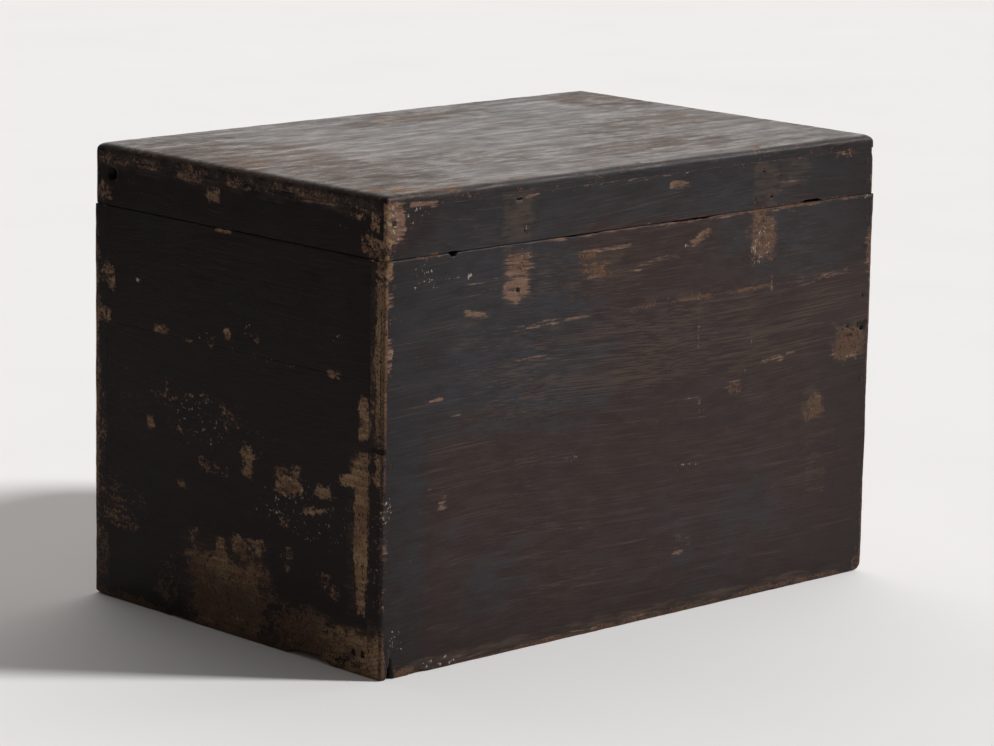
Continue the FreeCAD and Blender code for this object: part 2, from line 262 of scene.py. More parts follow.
        ],
        "scuff": [(-200, 120, 304, 312, 44)],
        "fleck": [(-180, 140, 303, 311, 26), (-150, 60, 150, 230, 22)],
        "rub": [(-250, 250, -20, 520, 20)],
        "stain": [(-245, -213, 200, 440, 56)],
        "grime": [(-250, 250, -60, 110, 80)],
        "cool": [(-250, 250, 200, 500, 50)],
        # Painted shade along the joint beside the front boards' end grain
        "dark": [(-214, -211, 40, 420, 40)],
    },
    "back": {
        "wood": [
            (-374, -360, -10, 444, 48), (360, 374, -10, 444, 48), (-374, 374, -8, 10, 54),
            (-120, -40, 40, 90, 44), (140, 210, 110, 140, 44),
        ],
        "scuff": [
            (-300, 240, 290, 298, 46), (130, 240, 340, 392, 40), (-240, -130, 340, 392, 40),
            (-60, 120, 330, 345, 48, 4), (-260, -160, 200, 206, 48, 4),
        ],
        "fleck": [(-60, 120, 330, 345, 30)],
        "rub": [(-380, 380, -20, 520, 36), (-380, 380, 150, 290, 70, 3)],
        "stain": [(150, 220, 370, 492, 50), (-220, -150, 370, 492, 50)],
        "grime": [(-380, 380, -60, 110, 80)],
        "cool": [(-380, 0, 200, 500, 30)],
    },
}

# How far the outline of a large worn patch strays, in millimetres; a small one strays by a share of its size
OUTLINE_SWAY = 6.0
SWAY_SHARE = 0.3

# Old nail holes, slots and a knot hole: face, first, height, width, tallness, depth in millimetres
HOLES = [
    ("front", -185, 386, 3.4, 3.4, 5),
    ("front", -182, 480, 13, 2.6, 4),
    ("front", -175, 447, 2.6, 5, 5),
    ("front", 173, 445, 3.4, 3.4, 5),
    ("front", 199, 446, 6, 2.6, 5),
    ("front", 186, 475, 11, 2.2, 4),
    ("front", 330, 286, 7, 3, 4),
    ("front", 354, 282, 8, 6, 4),
    ("left", 204.5, 469, 15, 14, 7),
]
# How far round a hole its faces are looked for, and how much narrower it is at its end than at its mouth
HOLE_MARGIN = 4 * MM
HOLE_TAPER = 0.4 * MM

# Broken edges: board, axis the notch runs along, its low and high end, the edge's height, and how far it
# bites, up from a lower edge or down (negative) from an upper one, in millimetres
NOTCHES = [
    ("left_lower_board", 1, -146, -86, 0, 7),
    ("left_lower_board", 1, -160, -120, 0, 4),
    ("left_lower_board", 1, 60, 110, 0, 2),
    ("front_lower_board", 0, -330, -300, 0, 3),
    ("front_lower_board", 0, -20, 60, 0, 1.5),
    ("front_lower_board", 0, 180, 230, 0, 2),
    ("front_upper_board", 0, -281, -270, 434, -4),
    ("front_upper_board", 0, -120, -60, 434, -1.2),
    ("front_upper_board", 0, 40, 110, 434, -1.5),
    ("lid_rail_front", 0, 246, 282, 434, 3),
    ("lid_rail_front", 0, -284, -262, 434, 1.5),
]
# A notch deepens over this share of its length at each end, and its outline strays by this share of its depth
NOTCH_RAMP = 0.2
NOTCH_SWAY = 0.35

# Broken corners: board, a point on the break in millimetres (Y from the carcass's middle), and the way it
# faces; then how rough the breaks are
BREAKS = [
    ("front_lower_board", (366.7, -235, 9.2), (0.94, -0.05, -0.34)),
    ("front_lower_board", (363.4, -235, 4.1), (0.7, -0.1, -0.7)),
    ("front_lower_board", (358.3, -235, 0.8), (0.34, -0.05, -0.94)),
    ("front_lower_board", (-366, -233, 2.5), (-0.6, -0.3, -0.7)),
    ("back_lower_board", (-365.5, 233, 2.5), (-0.7, 0.2, -0.7)),
    ("back_lower_board", (364, 233, 3), (0.6, 0.3, -0.7)),
    ("front_upper_board", (-365.5, -234, 428), (-0.8, -0.5, 0.3)),
    ("lid_rail_front", (365, -232, 470), (0.8, -0.5, 0.1)),
]
BREAK_ROUGHNESS = 0.5 * MM

# The split near the front board's lower left corner: its middle, half its width, its height and its depth,
# how steeply its sides drop, and the grid lines that it needs
SPLIT_X, SPLIT_HALF_WIDTH, SPLIT_HEIGHT, SPLIT_DEPTH = -355 * MM, 5 * MM, 22 * MM, 9 * MM
SPLIT_STEEPNESS = 1.4
SPLIT_LINES = [step * MM for step in (-361.5, -358.5, -357, -355, -353, -351.5, -349.5)]

# How unevenness is drawn: how far each seed shifts it, and its increment, lacunarity and octaves
SEED_SHIFT = (3.7, 1.9, 5.3)
FRACTAL = (0.8, 2.1, 3)
# Sizes of the unevenness of worn edges, faces, notches, breaks and the outlines of worn patches
EDGE_GRAIN, FACE_GRAIN, NOTCH_GRAIN, BREAK_GRAIN, PATCH_GRAIN = (size * MM for size in (30, 110, 9, 6, 16))
SWAY_SEED, RISE_SEED, EDGE_SEED = 3, 5, 7
# How much the rounding of a carcass edge varies, between which shares, and how much of that a lid edge takes
EDGE_VARIES, EDGE_LEAST, EDGE_MOST, LID_SHARE = 0.45, 0.45, 1.5, 0.4

# How near an outer face a point lies to be on it, how near the outside or the rim a mesh face lies to be
# painted, and how deep a warp goes
FACE_REACH = 5 * MM
PAINT_REACH, RIM_REACH = 2.2 * MM, 0.1 * MM
WARP_REACH = 3 * MM
# Points closer than this are one, on a worn board and in the CAD nails
SAME_POINT, SAME_CAD_POINT = 0.01 * MM, 0.001 * MM
# Distances of the closest grid lines from an edge, how far they stay from a thin board's middle, and the
# spacing of the lines on a bottom board
NEAR_EDGE = [step * MM for step in (0.0, 0.4, 1.0, 2.0, 3.5, 5.5, 8.5)]
CLEAR_OF_MIDDLE = 0.5 * MM
BOTTOM_GRID = 20 * MM
# Metres along the grain from one board's pith point to the next, so that no two boards match
PITH_STEP = 1.7

# Seeds of the first wall board and the first lid board, and the one before the first bottom board's
WALL_SEED, LID_SEED, BOTTOM_SEED = 1, 11, 20
# Turn of the grain in a board that runs from front to back
ACROSS_TURN = math.radians(-90)

# How far a nail turns in radians, and how quickly that changes from place to place
NAIL_TURN, NAIL_SPREAD = 0.6, 41.0
# A driven head is a bevelled block, and its width varies by a share
DRIVEN_THICKNESS, DRIVEN_BEVEL, DRIVEN_VARIES = 1.5 * MM, 0.5 * MM, 0.12
# A rose head is a cone with flat sides: its width in driven heads, and its tip's radius in its own widths
ROSE_THICKNESS, ROSE_SIDES, ROSE_WIDTH, ROSE_TIP = 1.8 * MM, 7, 1.3, 0.14
# Radius of a shank at its tip and below its head
SHANK_TIP, SHANK_NECK = 0.8 * MM, 1.8 * MM

# The stage in metres: half the floor's width; the flag's size, place, turn and folds
FLOOR_REACH = 30.0
FLAG_SIZE, FLAG_PLACE, FLAG_TURN = (2.8, 1.6, 1), (-0.95, 0.55, 0.8), math.radians(72)
FOLD_DEPTH, FOLD_RATE = 0.02, 9.0
# The way towards the brightest part of the room, and the way towards the key light
BRIGHT_SIDE = (0.72, 0.64, 0.0)
KEY_SIDE = (0.58, -0.56, 0.60)
# The camera: its place (Y from the carcass's middle), its yaw, elevation and roll in degrees, and its lens in
# millimetres
CAMERA_PLACE, CAMERA_ANGLES, CAMERA_LENS = (-3.058, -3.217, 1.139), (43.67, 11.48, 1.07), 147.9


def linear(code):
    """Linear colour of an sRGB hex code."""
    parts = [int(code[place:place + 2], 16) / 255 for place in (1, 3, 5)]
    return [part / 12.92 if part <= 0.04045 else ((part + 0.055) / 1.055) ** 2.4 for part in parts]


def colour(name, description, code):
    """A colour property with an sRGB hex code as its default."""
    return bpy.props.FloatVectorProperty(name=name, description=description, subtype="COLOR", size=3,
                                         min=0.0, max=1.0, default=linear(code))


def length(name, description, millimetres):
    """A length property with its default in millimetres."""
    return bpy.props.FloatProperty(name=name, description=description, unit="LENGTH", precision=5,
                                   default=millimetres * MM)


class ChestSizes(bpy.types.PropertyGroup):
    fine_grid: length("Fine grid", "Mesh spacing on the boards that face the viewer", 3.0)
    plain_grid: length("Plain grid", "Mesh spacing on the other boards", 5.0)
    joint_ease: length("Joint ease", "Rounding of every board's own edges", 0.3)
    carcass_upright: length("Carcass corners", "Rounding of the carcass's upright corners", 2.4)
    carcass_foot: length("Foot edge", "Rounding of the carcass's lower edges", 2.5)
    carcass_rim: length("Rim edge", "Rounding of the carcass's rim", 1.3)
    lid_upright: length("Lid corners", "Rounding of the lid's upright corners", 4.0)
    lid_top: length("Lid edge", "Rounding of the lid's top edges", 8.0)
    lid_rim: length("Lid rim", "Rounding of the lid's lower edges", 1.5)
    warp: length("Warp", "How far a board's face strays from flat", 0.4)
    pith_depth: length("Pith depth", "How far behind a board the heart of its tree lay", 70.0)
    nail_proud: length("Nail height", "How far a driven nail head stands out", 0.1)
    nail_head: length("Nail head", "Width of a driven nail head", 6.0)


class ChestColours(bpy.types.PropertyGroup):
    paint_deep: colour("Deep paint", "Paint that light and hands have not faded", "#140f0e")
    paint_warm: colour("Brown-black paint", "Most of the faded paint", "#342826")
    paint_cool: colour("Blue-black paint", "Paint with a cold bloom on it", "#2e2d31")
    rubbed: colour("Rubbed paint", "Paint worn thin over the ridges of the grain", "#4f4037")
    ghost: colour("Ghost", "Brown film left where a fitting covered the wood", "#4a3c32")
    undercoat: colour("Undercoat", "Reddish coat under the dark paint", "#553c31")
    scuffed: colour("Scuffed undercoat", "Pinkish coat where the paint is scraped off", "#7d6454")
    pine_light: colour("Pale pine", "Early wood of the bare boards", "#8c735a")
    pine_dark: colour("Dark pine", "Late wood of the bare boards", "#5e4730")
    grime: colour("Grime", "Dirt worked into the bare wood", "#453529")
    filler: colour("Filler", "Pale flakes of filler", "#978d82")
    # Painted shade in holes, gaps and joints, and the dark of dirt in cracks
    crack_dirt_and_shade: colour("Crack", "Dark of cracks and old holes", "#100c0a")
    inside_light: colour("Pale inside", "Early wood inside the chest", "#b18a5e")
    inside_dark: colour("Dark inside", "Late wood inside the chest", "#85603a")
    iron: colour("Iron", "Dark skin of the ironwork", "#332e2b")
    rust: colour("Rust", "Rust on the ironwork", "#5e3b26")
    floor: colour("Floor", "Pale studio floor", "#e8e8e9")


def add(tree, kind, inputs, **settings):
    """Adds a node with its settings.

    An input is a value, or a socket to link, or a node whose first live output is linked.
    """
    node = tree.nodes.new(kind)
    for name, value in settings.items():
        setattr(node, name, value)
    for key, value in inputs.items():
        if isinstance(value, bpy.types.Node):
            value = next(output for output in value.outputs if output.enabled)
        if isinstance(value, bpy.types.NodeSocket):
            tree.links.new(value, node.inputs[key])
        else:
            node.inputs[key].default_value = value
    return node


def new_material(name):
    """A node material with an empty tree."""
    material = bpy.data.materials.new(name)
    material.use_nodes = True
    material.node_tree.nodes.clear()
    return material, material.node_tree


def rgba(value):
    """A colour property as four numbers."""
    return (*value, 1.0)


def per_mm(size):
    """Scale of a noise whose features are this many millimetres across."""
    return 1 / (size * MM)


# Places of the colour inputs of a mix node
MIX_A, MIX_B = 6, 7
# A wave texture of scale 1 repeats after this many metres; growth rings are this far apart
WAVE_REPEAT = 0.314
RING_GAP = 4.5 * MM


def pine_figure(tree, turn, pith):
    """Growth rings round the pith and fine fibres, both bending slowly along the grain.

    Returns the place along, across and through the board, and how pale its wood is there.
    """
    centre = Matrix.Rotation(turn, 3, "Z") @ pith
    place = add(tree, "ShaderNodeTexCoord", {}).outputs["Object"]
    place = add(tree, "ShaderNodeMapping", {"Vector": place, "Rotation": (0, 0, turn), "Location": -centre})
    # The grain strays several millimetres to either side over about half a metre
    bend = add(tree, "ShaderNodeTexNoise", {"Vector": place, "Scale": per_mm(500), "Detail": 1.0})
    grain = add(tree, "ShaderNodeVectorMath", {
        0: bend.outputs["Color"], 1: (0, 50 * MM, 50 * MM), 2: place}, operation="MULTIPLY_ADD")
    # Rings and fibres about 1 mm wide are drawn out twenty-five times along the grain
    drawn = add(tree, "ShaderNodeMapping", {"Vector": grain, "Scale": (0.04, 1, 1)})
    rings = add(tree, "ShaderNodeTexWave", {
        "Vector": drawn, "Scale": WAVE_REPEAT / RING_GAP, "Distortion": 5.0, "Detail": 3.0,
        "Detail Scale": 0.6, "Detail Roughness": 0.6},
        wave_type="RINGS", rings_direction="X", wave_profile="SAW")
    fibres = add(tree, "ShaderNodeTexNoise", {
        "Vector": drawn, "Scale": per_mm(1.1), "Detail": 4.0, "Roughness": 0.6})
    figure = add(tree, "ShaderNodeMath", {
        0: rings.outputs["Fac"], 1: 0.30, 2: fibres}, operation="MULTIPLY_ADD")
    figure = add(tree, "ShaderNodeMapRange", {"Value": figure, "From Min": 0.4, "From Max": 0.95})
    return grain, figure


# Patterns in the paint: their scale along, across and through the grain, where a tenth draws them out ten
# times, the size of their features in millimetres, their detail and their roughness
PATTERNS = {
    "flakes": ((0.6, 1, 1), 22, 3.0, 0.5),
    "chips": ((0.6, 1, 1), 5, 5.0, 0.7),
    "specks": ((1, 1, 0.55), 2.4, 3.0, 0.75),
    "scrapes": ((0.08, 1, 1), 3, 5.0, 0.65),
    "bands": ((0.08, 1, 1), 13, 4.0, 0.5),
    "ridges": ((0.01, 1, 1), 1.4, 4.0, 0.7),
    "smudges": ((0.35, 1, 1), 14, 6.0, 0.7),
    "drift": ((1, 1, 1), 110, 4.0, 0.5),
}
# Where each thing shows: a sum of patterns and kinds of wear by their weights, the two sums between which it
# sets in, its strength at each, and how it sets in
FLAKING = {"specks": 0.9, "chips": 1.4, "flakes": 0.9, "wood": 1.0}
MASKS = {
    # Flakes from 5 to 22 mm across have left bare wood, with a narrow reddish rim round each
    "bare": (FLAKING, (2.08, 2.13), (0, 1), "SMOOTHSTEP"),
    "rim": (FLAKING, (2.0, 2.06), (0, 1), "SMOOTHSTEP"),
    # Scrapes about 3 mm wide run along the grain and thin out at their ends, and are pinkish on its ridges
    "scraped": ({"scrapes": 1.3, "smudges": 1.3, "scuff": 1.0}, (1.76, 2.02), (0, 0.86), "SMOOTHSTEP"),
    "pink": ({"ridges": 1.5, "chips": 1.0}, (1.0, 1.45), (0, 1), "LINEAR"),
    # Pale crumbs 1 to 5 mm across cling in groups
    "pale": ({"specks": 1.8, "chips": 1.8, "fleck": 1.0}, (2.44, 2.54), (0, 0.9), "SMOOTHSTEP"),
    # Paint rubs thin in lines about 1 mm wide, on the ridges of the grain
    "thin": ({"bands": 0.4, "ridges": 1.0, "rub": 0.3}, (0.84, 1.06), (0, 0.52), "SMOOTHSTEP"),
    # A brown film has a ragged edge
    "film": ({"scrapes": 1.5, "smudges": 1.5, "stain": 1.0}, (1.75, 2.5), (0, 0.7), "SMOOTHSTEP"),
    # Painted shade in old holes, gaps and joint lines, and dark dirt in cracks
    "crack_dirt_and_shade": ({"chips": 0.9, "dark": 1.0}, (0.86, 0.96), (0, 0.95), "SMOOTHSTEP"),
    # The paint's own tone drifts over about 110 mm and in smudges of about 14 mm
    "tone": ({"drift": 1.0, "smudges": 1.0, "cool": 0.5}, (0.92, 1.48), (0, 1), "SMOOTHSTEP"),
    # Brush drag leaves the hollows between ridges darker, and paint that nothing has rubbed is darkest
    "drag": ({"ridges": 1.0, "smudges": 1.0}, (0.86, 1.16), (0.45, 0), "LINEAR"),
    "unfaded": ({"rub": 1.0}, (0, 0.3), (1, 0), "LINEAR"),
    # On bare wood the undercoat is left in smudges, and the paint in specks
    "residue": ({"smudges": 1.0}, (0.46, 0.64), (0, 0.75), "SMOOTHSTEP"),
    "crumbs": ({"specks": 1.0}, (0.54, 0.63), (0, 0.85), "SMOOTHSTEP"),
    # The skin is satin, duller in streaks and smudges
    "dull": ({"ridges": 1.0, "bands": 0.5, "smudges": 1.0}, (1.02, 1.48), (0.3, 0.6), "LINEAR"),
}
# Coats of colour: the lowest, then each mask with the colour or coat that it lays on top
COATS = {
    "scuff": ("undercoat", ("pink", "scuffed")),
    "paint": ("paint_warm", ("tone", "paint_cool"), ("drag", "paint_deep"), ("unfaded", "paint_deep"),
              ("thin", "rubbed"), ("film", "ghost"), ("scraped", "scuff"), ("rim", "undercoat")),
    "wood": ("pine_dark", ("figure", "pine_light"), ("soil", "grime"), ("residue", "undercoat"),
             ("crumbs", "paint_deep")),
    "surface": ("paint", ("bare", "wood"), ("pale", "filler"), ("crack_dirt_and_shade", "crack_dirt_and_shade")),
}
# The relief, in shares of its depth: the paint skin is about 0.25 mm thick, and the ridges of the grain stand
# a little over half as high
RELIEF = {"ridges": 1.0, "scrapes": 0.6, "bare": -0.7, "pale": 0.5, "bands": 0.5, "smudges": 1.0}
RELIEF_DEPTH = 0.35 * MM


def painted_pine(name, turn, pith, colours):
    """Old oil paint on pine.

    A brown-black satin skin with brush drag, thinned along the ridges of the grain, and broken into
    flakes with a reddish rim that show dry ochre wood.
    """
    material, tree = new_material(name)
    grain, figure = pine_figure(tree, turn, pith)
    parts = {"figure": figure}
    for layer, kinds in LAYERS.items():
        attribute = add(tree, "ShaderNodeAttribute", {}, attribute_name=layer)
        channels = add(tree, "ShaderNodeSeparateColor", {"Color": attribute})
        parts.update(zip(kinds, (*channels.outputs, attribute.outputs["Alpha"])))
    for pattern, (stretch, size, detail, roughness) in PATTERNS.items():
        place = add(tree, "ShaderNodeMapping", {"Vector": grain, "Scale": stretch})
        parts[pattern] = add(tree, "ShaderNodeTexNoise", {
            "Vector": place, "Scale": per_mm(size), "Detail": detail, "Roughness": roughness})
    for mask, (weights, sums, strengths, ramp) in MASKS.items():
        total = 0.0
        for part, weight in weights.items():
            total = add(tree, "ShaderNodeMath", {
                0: parts[part], 1: weight, 2: total}, operation="MULTIPLY_ADD")
        parts[mask] = add(tree, "ShaderNodeMapRange", {
            "Value": total, "From Min": sums[0], "From Max": sums[1], "To Min": strengths[0],
            "To Max": strengths[1]}, interpolation_type=ramp)
    # Dirt gathers in patches on the bare wood
    soil = add(tree, "ShaderNodeMath", {0: parts["grime"], 1: parts["flakes"]}, operation="MULTIPLY")
    parts["soil"] = add(tree, "ShaderNodeMapRange", {
        "Value": soil, "From Min": 0.12, "From Max": 0.5, "To Max": 0.9}, interpolation_type="SMOOTHSTEP")

    shades = {key: rgba(getattr(colours, key)) for key in ChestColours.__annotations__}
    for coat, (lowest, *upper) in COATS.items():
        shades[coat] = shades[lowest]
        for mask, shade in upper:
            shades[coat] = add(tree, "ShaderNodeMix", {
                0: parts[mask], MIX_A: shades[coat], MIX_B: shades[shade]}, data_type="RGBA")

    # Satin where the paint is whole, dry where it is thin or gone
    dry = parts["bare"]
    for mask in ("scraped", "film"):
        dry = add(tree, "ShaderNodeMath", {0: dry, 1: parts[mask]}, operation="MAXIMUM")
    rough = add(tree, "ShaderNodeMath", {0: dry, 1: 0.3, 2: parts["dull"]}, operation="MULTIPLY_ADD")
    height = 0.0
    for part, weight in RELIEF.items():
        height = add(tree, "ShaderNodeMath", {0: parts[part], 1: weight, 2: height}, operation="MULTIPLY_ADD")
    bump = add(tree, "ShaderNodeBump", {"Height": height, "Strength": 1.0, "Distance": RELIEF_DEPTH})
    shader = add(tree, "ShaderNodeBsdfPrincipled", {
        "Base Color": shades["surface"], "Roughness": rough, "Specular IOR Level": 0.14,
        "Specular Tint": (1.0, 0.94, 0.90, 1.0), "Normal": bump})
    add(tree, "ShaderNodeOutputMaterial", {"Surface": shader})
    return material


def bare_pine(name, turn, pith, colours):
    """Pine that was planed and never finished: warm tan, dry, with darker late wood and soft stains."""
    material, tree = new_material(name)
    grain, figure = pine_figure(tree, turn, pith)
    wood = add(tree, "ShaderNodeMix", {
        0: figure, MIX_A: rgba(colours.inside_dark), MIX_B: rgba(colours.inside_light)}, data_type="RGBA")
    # Stains about 90 mm across darken it by up to two fifths
    clouds = add(tree, "ShaderNodeTexNoise", {
        "Vector": grain, "Scale": per_mm(90), "Detail": 5.0, "Roughness": 0.6})
    age = add(tree, "ShaderNodeMapRange", {
        "Value": clouds, "From Min": 0.4, "From Max": 0.75, "To Min": 1.0, "To Max": 0.6})
    wood = add(tree, "ShaderNodeHueSaturation", {"Color": wood, "Value": age})
    bump = add(tree, "ShaderNodeBump", {"Height": figure, "Strength": 0.35, "Distance": 0.2 * MM})
    shader = add(tree, "ShaderNodeBsdfPrincipled", {
        "Base Color": wood, "Roughness": 0.72, "Specular IOR Level": 0.3, "Normal": bump})
    add(tree, "ShaderNodeOutputMaterial", {"Surface": shader})
    return material


def forged_iron(name, skin, rust, metallic, gloss):
    """Hand-forged iron: a dull dark skin, pitted, with soft blotches of rust about 9 mm across."""
    material, tree = new_material(name)
    place = add(tree, "ShaderNodeTexCoord", {}).outputs["Object"]
    blotches = add(tree, "ShaderNodeTexNoise", {
        "Vector": place, "Scale": per_mm(9), "Detail": 8.0, "Roughness": 0.8})
    rusty = add(tree, "ShaderNodeMapRange", {"Value": blotches, "From Min": 0.40, "From Max": 0.72})
    surface = add(tree, "ShaderNodeMix", {0: rusty, MIX_A: rgba(skin), MIX_B: rgba(rust)}, data_type="RGBA")
    rough = add(tree, "ShaderNodeMapRange", {"Value": rusty, "To Min": 0.48, "To Max": 0.82})
    metal = add(tree, "ShaderNodeMapRange", {"Value": rusty, "To Min": metallic, "To Max": metallic * 0.1})
    pits = add(tree, "ShaderNodeTexNoise", {
        "Vector": place, "Scale": per_mm(2.5), "Detail": 4.0, "Roughness": 0.6})
    bump = add(tree, "ShaderNodeBump", {"Height": pits, "Strength": 0.6, "Distance": 0.3 * MM})
    shader = add(tree, "ShaderNodeBsdfPrincipled", {
        "Base Color": surface, "Roughness": rough, "Metallic": metal, "Specular IOR Level": gloss,
        "Normal": bump})
    add(tree, "ShaderNodeOutputMaterial", {"Surface": shader})
    return material


def grid_lines(low, high, spacing):
    """Grid lines between two edges: close together near both, and evenly spaced between."""
    near = [step for step in NEAR_EDGE if step < (high - low) / 2 - CLEAR_OF_MIDDLE]
    inner_low = low + near[-1]
    inner_high = high - near[-1]
    count = max(1, round((inner_high - inner_low) / spacing))
    middle = np.linspace(inner_low, inner_high, count + 1)[1:-1]
    return np.concatenate([low + np.array(near), middle, high - np.array(near)[::-1]])


def core_box(node, neighbour):
    """A board's box without the tongue that runs into its neighbour."""
    low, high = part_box(node)
    if neighbour is None:
        return low, high
    next_low, next_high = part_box(neighbour)
    if next_high.z < high.z - MM:
        low.z = next_high.z
    elif next_low.y > low.y + MM:
        high.y = next_low.y
    else:
        high.x = next_low.x
    return low, high


def gridded_board(low, high, spacing, more_x=()):
    """A board as a box cut into a grid, with more lines along X where they are given."""
    lines = [grid_lines(low[axis], high[axis], spacing) for axis in range(3)]
    lines[0] = np.sort(np.concatenate([lines[0], more_x]))
    bm = bmesh.new()
    bmesh.ops.create_cube(bm, size=1.0)
    bmesh.ops.translate(bm, verts=bm.verts, vec=(0.5, 0.5, 0.5))
    for axis in range(3):
        along = [edge for edge in bm.edges
                 if abs(edge.verts[0].co[axis] - edge.verts[1].co[axis]) > 1e-4]
        bmesh.ops.subdivide_edges(bm, edges=along, cuts=len(lines[axis]) - 2, use_grid_fill=True)
    last = [len(line) - 1 for line in lines]
    for vert in bm.verts:
        vert.co = [lines[axis][round(vert.co[axis] * last[axis])] for axis in range(3)]
    for face in bm.faces:
        face.smooth = True
    return bm


def place_points(bm, points):
    """Moves the points of a mesh to their new places."""
    for vert, point in zip(bm.verts, points):
        vert.co = point


def paint_outer_faces(bm, low, high, rim):
    """Gives the painted slot to the outside and the rims of the carcass or lid, the bare one to the rest."""
    skin = PAINT_REACH
    for face in bm.faces:
        middle = face.calc_center_median()
        outer = (middle.x < low.x + skin or middle.x > high.x - skin
                 or middle.y < low.y + skin or middle.y > high.y - skin
                 or middle.z > high.z - skin or abs(middle.z - rim) < RIM_REACH)
        face.material_index = 0 if outer else 1


def unevenness(points, size, seed):
    """Smooth uneven values between about -1 and 1, with features of one size."""
    shift = Vector([seed * step for step in SEED_SHIFT])
    return np.array([noise.fractal(Vector(point) / size + shift, *FRACTAL) for point in points])


def ease_edges(points, low, high, radius):
    """Rounds a board's own edges a little."""
    inner = np.clip(points, np.array(low) + radius, np.array(high) - radius)
    reach = points - inner
    size = np.linalg.norm(reach, axis=1)
    out = size > radius
    points[out] = inner[out] + reach[out] * (radius / size[out])[:, None]


def round_pair(first, second, radius):
    """Distances from two faces, with the edge between the faces rounded."""
    across = radius - first
    down = radius - second
    span = np.hypot(across, down)
    out = (across > 0) & (down > 0) & (span > radius)
    ratio = np.where(out, radius / np.maximum(span, 1e-9), 1.0)
    return np.where(out, radius - across * ratio, first), np.where(out, radius - down * ratio, second)


def wear_outline(points, low, high, upright, lower, upper):
    """Rounds the outside of the carcass or lid: its lower and upper edges, then its corners.

    The three radii are given point by point.
    """
    near_high = [points[:, axis] > (low[axis] + high[axis]) / 2 for axis in range(3)]
    gaps = [np.where(near_high[axis], high[axis] - points[:, axis], points[:, axis] - low[axis])
            for axis in range(3)]
    edge = np.where(near_high[2], upper, lower)
    gaps[0], gaps[2] = round_pair(gaps[0], gaps[2], edge)
    gaps[1], gaps[2] = round_pair(gaps[1], gaps[2], edge)
    inset = edge - np.sqrt(np.maximum(edge ** 2 - np.maximum(edge - gaps[2], 0) ** 2, 0))
    across, along = round_pair(gaps[0] - inset, gaps[1] - inset, upright)
    gaps[0] = across + inset
    gaps[1] = along + inset
    for axis in range(3):
        points[:, axis] = np.where(near_high[axis], high[axis] - gaps[axis], low[axis] + gaps[axis])


def warp_faces(points, low, high, amount, seed):
    """Presses the outer faces in by a little, unevenly, as old boards are."""
    press = (unevenness(points, FACE_GRAIN, seed) * 0.5 + 0.5) * amount
    for axis in (0, 1):
        points[:, axis] += press * np.clip(1 - (points[:, axis] - low[axis]) / WARP_REACH, 0, 1)
        points[:, axis] -= press * np.clip(1 - (high[axis] - points[:, axis]) / WARP_REACH, 0, 1)


def notch_edge(points, axis, low, high, edge, bite, seed):
    """Breaks a notch out of an upper or lower edge, with a ragged outline."""
    middle = MIDDLE_Y if axis == 1 else 0.0
    along = (points[:, axis] - middle) / MM
    share = np.clip(np.minimum(along - low, high - along) / (NOTCH_RAMP * (high - low)), 0, 1)
    hit = share > 0
    outline = points[hit].copy()
    outline[:, 2] = edge * MM
    ragged = 1 + NOTCH_SWAY * unevenness(outline, NOTCH_GRAIN, seed)
    limit = (edge + bite * share[hit] * ragged) * MM
    height = points[hit, 2]
    points[hit, 2] = np.maximum(height, limit) if bite > 0 else np.minimum(height, limit)


def break_corner(points, place, direction, seed):
    """Breaks away what lies outside a plane, leaving a rough face."""
    normal = np.array(Vector(direction).normalized())
    start = np.array(place) * MM + np.array((0, MIDDLE_Y, 0))
    outside = (points - start) @ normal
    hit = outside > 0
    if hit.any():
        uneven = unevenness(points[hit], BREAK_GRAIN, seed) * BREAK_ROUGHNESS
        points[hit] -= np.outer(outside[hit] + uneven, normal)


def open_split(points, low):
    """Opens the split near the front's lower left corner, widest at the floor."""
    share = 1 - (points[:, 2] - low.z) / SPLIT_HEIGHT
    half = np.maximum(SPLIT_HALF_WIDTH * share, 1e-9)
    inward = np.clip(SPLIT_STEEPNESS * (1 - np.abs(points[:, 0] - SPLIT_X) / half), 0, 1)
    near = points[:, 1] < low.y + SPLIT_DEPTH
    sunk = (share > 0) & near
    target = low.y + SPLIT_DEPTH * inward
    points[sunk, 1] = np.maximum(points[sunk, 1], target[sunk])


def face_places(points, face):
    """Which points lie on one outer face, and their two places on it in millimetres."""
    x, y, z = points.T
    low, high = CARCASS_LOW, CARCASS_HIGH
    if face == "front":
        return y < low.y + FACE_REACH, x / MM, z / MM
    if face == "back":
        return y > high.y - FACE_REACH, x / MM, z / MM
    if face == "left":
        return x < low.x + FACE_REACH, (y - MIDDLE_Y) / MM, z / MM
    if face == "right":
        return x > high.x - FACE_REACH, (y - MIDDLE_Y) / MM, z / MM
    return z > LID_HIGH.z - FACE_REACH, x / MM, (y - MIDDLE_Y) / MM


def patch_share(kind, face, along, across):
    """How far a worn patch holds at shares of its half sizes from its middle.

    A stain keeps its square corners and fades from 0.85 to 1.15 of its half sizes, a patch on the top
    fades from 0.5 to 1.5, and the rest have rounded corners and fade from 0.7 to 1.3.
    """
    if kind == "stain":
        return np.clip((1.15 - np.maximum(along, across)) / 0.3, 0, 1)
    if face == "top":
        return np.clip(1.5 - np.hypot(along, across), 0, 1)
    return np.clip((1.3 - (along ** 4 + across ** 4) ** (1 / 4)) / 0.6, 0, 1)


